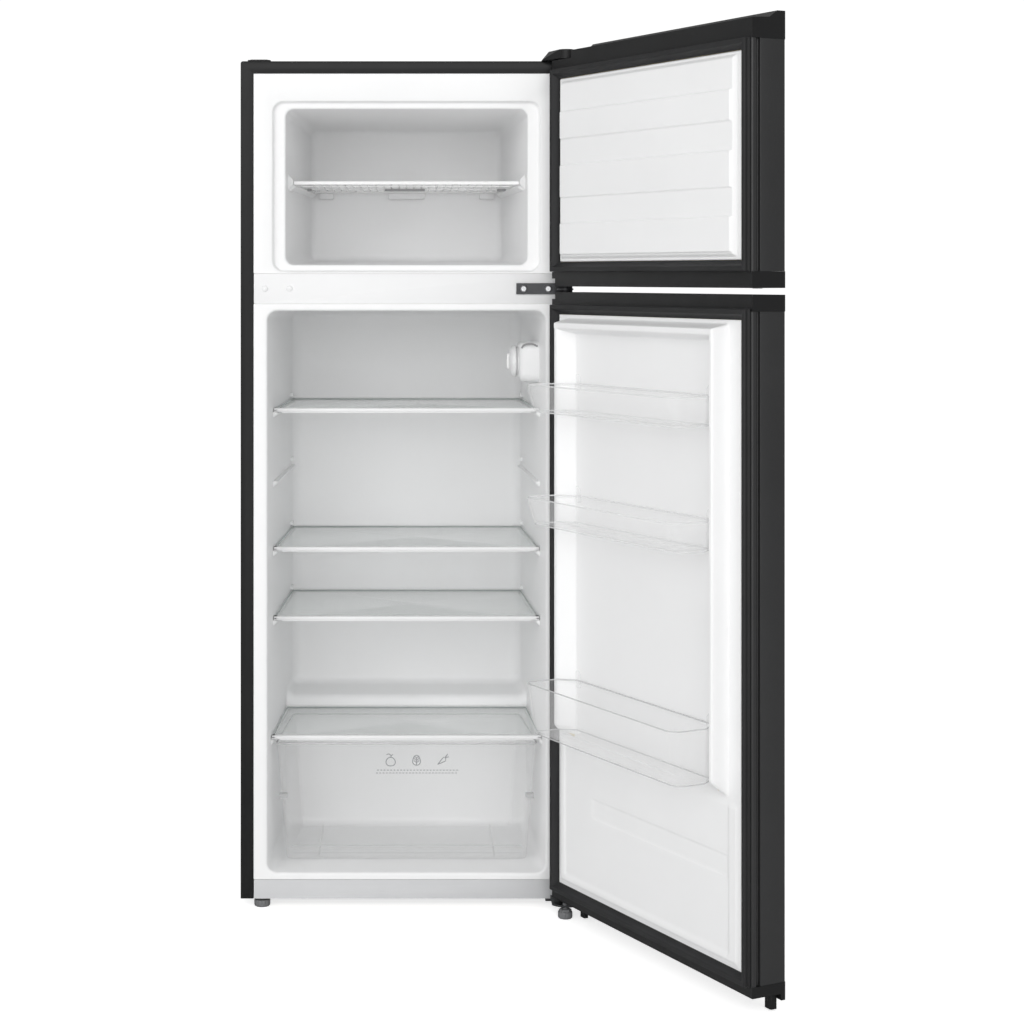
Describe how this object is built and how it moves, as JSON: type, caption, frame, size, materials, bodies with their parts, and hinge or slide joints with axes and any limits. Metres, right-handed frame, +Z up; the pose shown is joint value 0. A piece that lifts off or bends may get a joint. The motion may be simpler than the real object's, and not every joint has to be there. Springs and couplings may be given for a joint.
{
  "type": "top freezer refrigerator",
  "caption": "Free-standing refrigerator with a freezer above, two hinged doors standing open, sliding shelves, a crisper drawer and lift-out door bins.",
  "frame": {"origin": "on the floor under the middle of the open refrigerator's bounding box", "axes": "+Z up, the front faces -Y, +X to the right seen from the front"},
  "size_m": [0.8217, 1.019, 1.4367],
  "materials": {
    "cabinet_paint": "black enamel, satin",
    "door_paint": "dark charcoal coat, satin",
    "galvanised_sheet": "galvanised sheet",
    "foam": "rigid polyurethane foam, hidden between the sheets",
    "liner_plastic": "white formed plastic",
    "white_trim": "white moulded plastic",
    "toe_trim": "light grey moulded plastic",
    "white_wire": "white coated wire",
    "shelf_glass": "toughened clear glass",
    "clear_plastic": "clear moulded plastic",
    "lamp_glass": "frosted lamp",
    "copper": "copper tube",
    "evaporator_plate": "bare plate",
    "compressor_paint": "black paint",
    "black_rubber": "soft black",
    "black_plastic": "black moulded plastic",
    "grey_plastic": "grey moulded plastic",
    "hinge_steel": "plated steel",
    "screw_plating": "bright plated"
  },
  "bodies": {
    "cabinet": {"outer_wrapper": "cabinet_paint", "rear_panel": "cabinet_paint", "bottom_panel": "galvanised_sheet", "compressor_tray": "galvanised_sheet", "insulation": "foam", "freezer_liner": "liner_plastic", "fridge_liner": "liner_plastic", "divider_cover": "white_trim", "toe_strip": "toe_trim", "condenser_coil": "copper", "evaporator": "evaporator_plate", "compressor": "compressor_paint", "compressor_mounts": "black_rubber", "relay_box": "black_plastic", "drip_tray": "black_plastic", "filter_drier": "copper", "refrigerant_pipes": "copper", "power_inlet": "black_rubber", "control_housing": "white_trim", "lamp_cover": "clear_plastic", "lamp": "lamp_glass", "crisper_cover_glass": "shelf_glass", "crisper_cover_trim": "white_trim", "rear_feet": "black_plastic", "top_hinge": "hinge_steel", "middle_hinge": "hinge_steel", "bottom_hinge": "hinge_steel", "top_hinge_cover": "black_plastic", "top_hole_cover": "black_plastic", "hinge_screws": "screw_plating", "hole_plugs": "white_trim"},
    "freezer_door": {"freezer_door_panel": "door_paint", "freezer_door_top_cap": "black_plastic", "freezer_door_bottom_cap": "black_plastic", "freezer_door_liner": "liner_plastic", "freezer_door_gasket": "black_rubber", "freezer_door_foam": "foam", "freezer_door_bushes": "white_trim"},
    "fridge_door": {"fridge_door_panel": "door_paint", "fridge_door_top_cap": "black_plastic", "fridge_door_bottom_cap": "black_plastic", "fridge_door_liner": "liner_plastic", "fridge_door_gasket": "black_rubber", "fridge_door_foam": "foam", "fridge_door_bushes": "white_trim", "fridge_door_stops": "black_plastic"},
    "shelf_upper": {"shelf_glass_upper": "shelf_glass", "shelf_trim_upper": "white_trim"},
    "door_bin_upper": {"bin_upper": "clear_plastic"},
    "shelf_middle": {"shelf_glass_middle": "shelf_glass", "shelf_trim_middle": "white_trim"},
    "door_bin_middle": {"bin_middle": "clear_plastic"},
    "shelf_lower": {"shelf_glass_lower": "shelf_glass", "shelf_trim_lower": "white_trim"},
    "door_bin_lower": {"bin_lower": "clear_plastic"},
    "wire_shelf": {"freezer_shelf": "white_wire"},
    "crisper": {"crisper_drawer": "clear_plastic"},
    "dial": {"thermostat_dial": "white_trim"},
    "foot_left": {"left_foot": "grey_plastic"},
    "foot_right": {"right_foot": "grey_plastic"}
  },
  "joints": [
    {"name": "freezer_door_hinge", "type": "hinge", "parent": "cabinet", "child": "freezer_door", "pos_m": [0.13096, -0.01333, 1.034], "axis": [0, 0, 1], "range_deg": [-116.8, 8.2]},
    {"name": "fridge_door_hinge", "type": "hinge", "parent": "cabinet", "child": "fridge_door", "pos_m": [0.13096, -0.01333, 1.034], "axis": [0, 0, 1], "range_deg": [-116.8, 8.2]},
    {"name": "crisper_slide", "type": "slide", "parent": "cabinet", "child": "crisper", "axis": [0, -1, 0], "range_m": [0, 0.2]},
    {"name": "shelf_upper_slide", "type": "slide", "parent": "cabinet", "child": "shelf_upper", "axis": [0, -1, 0], "range_m": [0, 0.24]},
    {"name": "shelf_middle_slide", "type": "slide", "parent": "cabinet", "child": "shelf_middle", "axis": [0, -1, 0], "range_m": [0, 0.24]},
    {"name": "shelf_lower_slide", "type": "slide", "parent": "cabinet", "child": "shelf_lower", "axis": [0, -1, 0], "range_m": [0, 0.24]},
    {"name": "wire_shelf_slide", "type": "slide", "parent": "cabinet", "child": "wire_shelf", "axis": [0, -1, 0], "range_m": [0, 0.2]},
    {"name": "thermostat_turn", "type": "hinge", "parent": "cabinet", "child": "dial", "pos_m": [0.05756, 0.16567, 0.9075], "axis": [-1, 0, 0], "range_deg": [-130, 130]},
    {"name": "door_bin_upper_lift", "type": "slide", "parent": "fridge_door", "child": "door_bin_upper", "axis": [0, 0, 1], "range_m": [0, 0.025]},
    {"name": "door_bin_middle_lift", "type": "slide", "parent": "fridge_door", "child": "door_bin_middle", "axis": [0, 0, 1], "range_m": [0, 0.025]},
    {"name": "door_bin_lower_lift", "type": "slide", "parent": "fridge_door", "child": "door_bin_lower", "axis": [0, 0, 1], "range_m": [0, 0.025]},
    {"name": "foot_left_level", "type": "slide", "parent": "cabinet", "child": "foot_left", "axis": [0, 0, -1], "range_m": [0, 0.006]},
    {"name": "foot_right_level", "type": "slide", "parent": "cabinet", "child": "foot_right", "axis": [0, 0, -1], "range_m": [0, 0.006]}
  ]
}
